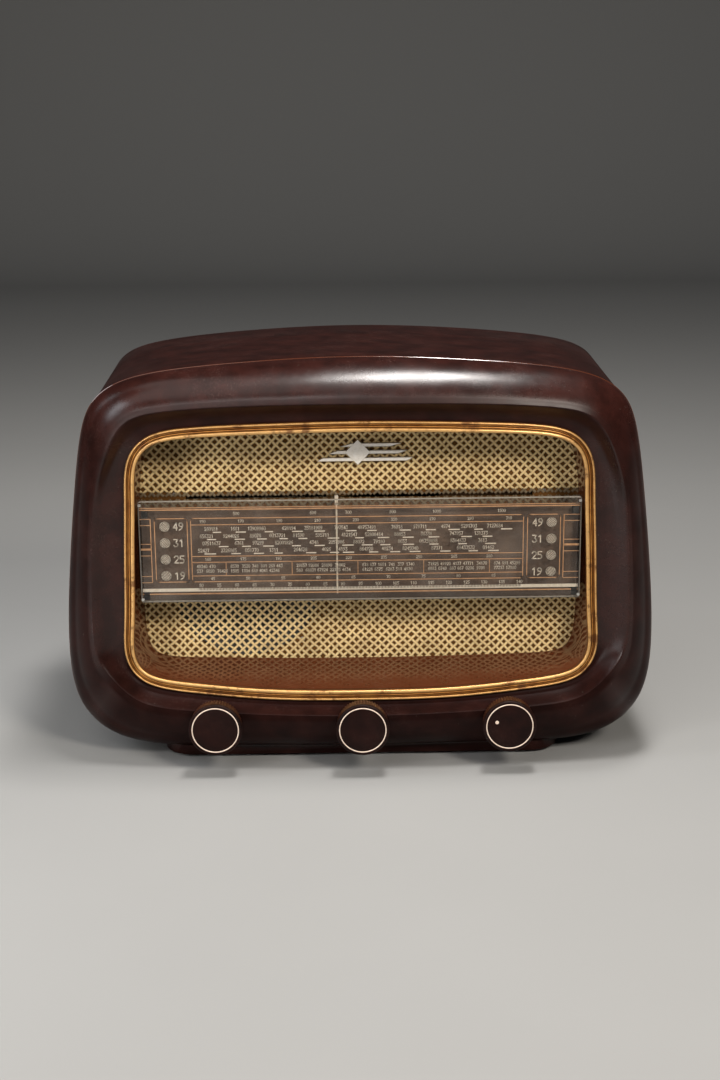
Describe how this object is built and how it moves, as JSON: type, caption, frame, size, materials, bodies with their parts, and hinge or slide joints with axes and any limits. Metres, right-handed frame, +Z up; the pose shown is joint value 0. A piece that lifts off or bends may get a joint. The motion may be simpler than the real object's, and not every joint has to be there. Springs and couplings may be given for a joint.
{
  "type": "table radio",
  "caption": "Bakelite valve table radio with a gold-framed window, woven grille, printed dial with cord-driven pointer, ringed knobs and perforated rear cover.",
  "frame": {"origin": "centre of the bounding box in plan, on the plane the rubber feet stand on", "axes": "+Z up, -Y is the front with the dial and knobs, +X to the viewer's right"},
  "size_m": [0.4062, 0.218, 0.2822],
  "materials": {
    "bakelite": "gloss",
    "knob_bakelite": "gloss",
    "inlay": "satin",
    "bezel_gold": "satin",
    "badge_metal": "satin",
    "grille_weave": "matte",
    "hardboard": "matte",
    "rubber": "matte",
    "screw_steel": "satin",
    "fibre_board": "matte",
    "clear_glass": "gloss",
    "dark_plate": "matte",
    "pointer_white": "satin",
    "brass_parts": "satin",
    "nickel": "satin",
    "drive_thread": "matte",
    "aluminium": "satin",
    "zinc_sheet": "satin",
    "magnet_paint": "satin",
    "speaker_paint": "satin",
    "cone_paper": "matte",
    "valve_glass": "gloss",
    "paxolin": "satin",
    "core_steel": "satin",
    "coil_wrap": "matte",
    "lamp_glass": "gloss"
  },
  "bodies": {
    "cabinet": {"cabinet_shell": "bakelite", "window_bezel": "bezel_gold", "badge": "badge_metal", "grille_cloth": "grille_weave", "grille_board": "hardboard", "board_screws": "screw_steel", "rubber_feet": "rubber", "rear_cover": "fibre_board", "rear_cover_screws": "screw_steel", "cord_grommet": "rubber", "dial_glass": "clear_glass", "glass_gaskets": "rubber", "dial_backplate": "dark_plate", "dial_posts": "nickel", "dial_lamps": "lamp_glass", "lamp_holders": "brass_parts", "pointer_rail": "nickel", "rail_brackets": "zinc_sheet", "drive_cord": "drive_thread", "idler_posts": "nickel", "spindle_bush": "brass_parts", "gang_frame": "zinc_sheet", "gang_stators": "aluminium", "gang_bracket": "zinc_sheet", "speaker_frame": "speaker_paint", "speaker_magnet": "magnet_paint", "speaker_screws": "screw_steel", "output_transformer": "core_steel", "chassis": "zinc_sheet", "chassis_bolts": "screw_steel", "chassis_washers": "rubber", "mains_transformer": "core_steel", "transformer_coil": "coil_wrap", "valves": "valve_glass", "valve_sockets": "paxolin", "if_cans": "aluminium", "smoothing_can": "aluminium", "volume_control": "zinc_sheet", "band_switch": "paxolin", "rear_socket_panel": "paxolin", "voltage_selector": "paxolin", "coil_pack": "paxolin"},
    "tuning_knob": {"tuning_knob": "knob_bakelite", "tuning_knob_ring": "inlay", "tuning_spindle": "nickel"},
    "volume_knob": {"volume_knob": "knob_bakelite", "volume_knob_ring": "inlay", "volume_shaft": "nickel"},
    "band_knob": {"band_knob": "knob_bakelite", "band_knob_ring": "inlay", "band_knob_dot": "inlay", "band_shaft": "nickel"},
    "drum": {"tuning_drum": "paxolin", "gang_rotor": "aluminium"},
    "pointer": {"dial_pointer": "pointer_white", "pointer_carriage": "brass_parts"},
    "idler_left": {"idler_left": "brass_parts"},
    "idler_right": {"idler_right": "brass_parts"},
    "idler_centre": {"idler_centre": "brass_parts"},
    "speaker_cone": {"speaker_cone": "cone_paper"}
  },
  "joints": [
    {"name": "tuning_drum_turn", "type": "hinge", "parent": "cabinet", "child": "drum", "pos_m": [0.088, -0.034, 0.116], "axis": [0, 1, 0], "range_deg": [-77.4, 102.7]},
    {"name": "tuning_knob_turn", "type": "hinge", "parent": "cabinet", "child": "tuning_knob", "pos_m": [0, -0.094, 0.035], "axis": [0, 1, 0], "range_deg": [-1238, 1642]},
    {"name": "pointer_slide", "type": "slide", "parent": "cabinet", "child": "pointer", "axis": [1, 0, 0], "range_m": [-0.0951, 0.1262]},
    {"name": "idler_left_turn", "type": "hinge", "parent": "cabinet", "child": "idler_left", "pos_m": [-0.128, -0.034, 0.185], "axis": [0, 1, 0], "range_deg": [-1090, 1446]},
    {"name": "idler_right_turn", "type": "hinge", "parent": "cabinet", "child": "idler_right", "pos_m": [0.128, -0.034, 0.185], "axis": [0, 1, 0], "range_deg": [-1090, 1446]},
    {"name": "idler_centre_turn", "type": "hinge", "parent": "cabinet", "child": "idler_centre", "pos_m": [-0.0094, -0.034, 0.175], "axis": [0, 1, 0], "range_deg": [-1446, 1090]},
    {"name": "volume_knob_turn", "type": "hinge", "parent": "cabinet", "child": "volume_knob", "pos_m": [-0.1, -0.094, 0.035], "axis": [0, 1, 0], "range_deg": [0, 300]},
    {"name": "band_knob_turn", "type": "hinge", "parent": "cabinet", "child": "band_knob", "pos_m": [0.1, -0.094, 0.035], "axis": [0, 1, 0], "range_deg": [-30, 60]},
    {"name": "speaker_cone_travel", "type": "slide", "parent": "cabinet", "child": "speaker_cone", "axis": [0, 1, 0], "range_m": [-0.001, 0.001], "stiffness_N_per_m": 1500}
  ],
  "couplings": [
    {"joint": "tuning_knob_turn", "follows": "tuning_drum_turn", "ratio": 15.977},
    {"joint": "pointer_slide", "follows": "tuning_drum_turn", "m_per_rad": 0.0703},
    {"joint": "idler_left_turn", "follows": "tuning_drum_turn", "ratio": 14.06},
    {"joint": "idler_right_turn", "follows": "tuning_drum_turn", "ratio": 14.06},
    {"joint": "idler_centre_turn", "follows": "tuning_drum_turn", "ratio": -14.06}
  ]
}
